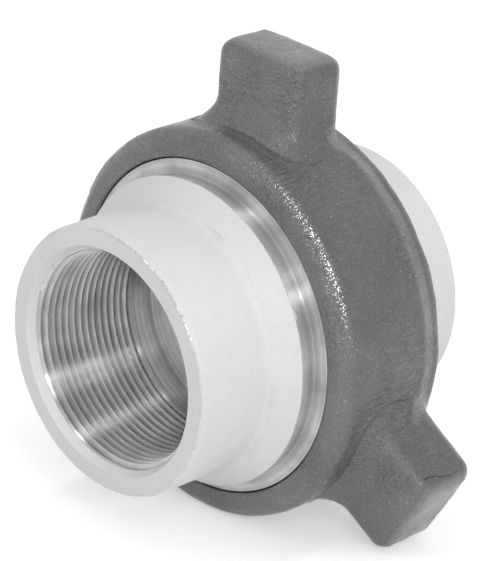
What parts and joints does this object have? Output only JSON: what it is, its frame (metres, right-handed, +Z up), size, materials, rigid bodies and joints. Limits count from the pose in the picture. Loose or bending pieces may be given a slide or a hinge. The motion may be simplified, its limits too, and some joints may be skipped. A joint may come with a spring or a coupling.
{
  "type": "hammer union",
  "caption": "Hammer union: two threaded pipe hubs with a ball-and-cone seat, drawn together by a lugged wing nut on a coarse screw thread.",
  "frame": {"origin": "centre of the bounding box's underside, on the surface that the wing nut lies on", "axes": "+Y along the union's axis, from the thread-end sub's pipe face to the nut-end sub's; +Z up; +X to the right when looking along +Y"},
  "size_m": [0.1384, 0.093, 0.1266],
  "materials": {
    "off_white_paint": "off-white satin paint over forged steel, with bare turned steel at the threads and bands",
    "dark_grey_paint": "dark grey satin paint over a forged and shot-blasted skin"
  },
  "bodies": {
    "thread_end_sub": {"thread_end_sub": "off_white_paint"},
    "nut_end_sub": {"nut_end_sub": "off_white_paint"},
    "wing_nut": {"wing_nut": "dark_grey_paint"}
  },
  "joints": [
    {"name": "nut_end_draw", "type": "slide", "parent": "thread_end_sub", "child": "nut_end_sub", "axis": [0, 1, 0], "range_m": [0, 0.0191]},
    {"name": "nut_turn", "type": "hinge", "parent": "nut_end_sub", "child": "wing_nut", "pos_m": [0.00219, 0.005, 0.05288], "axis": [0, 1, 0], "range_deg": [0, 1080]}
  ],
  "couplings": [
    {"joint": "nut_end_draw", "follows": "nut_turn", "m_per_rad": 0.0010106}
  ]
}
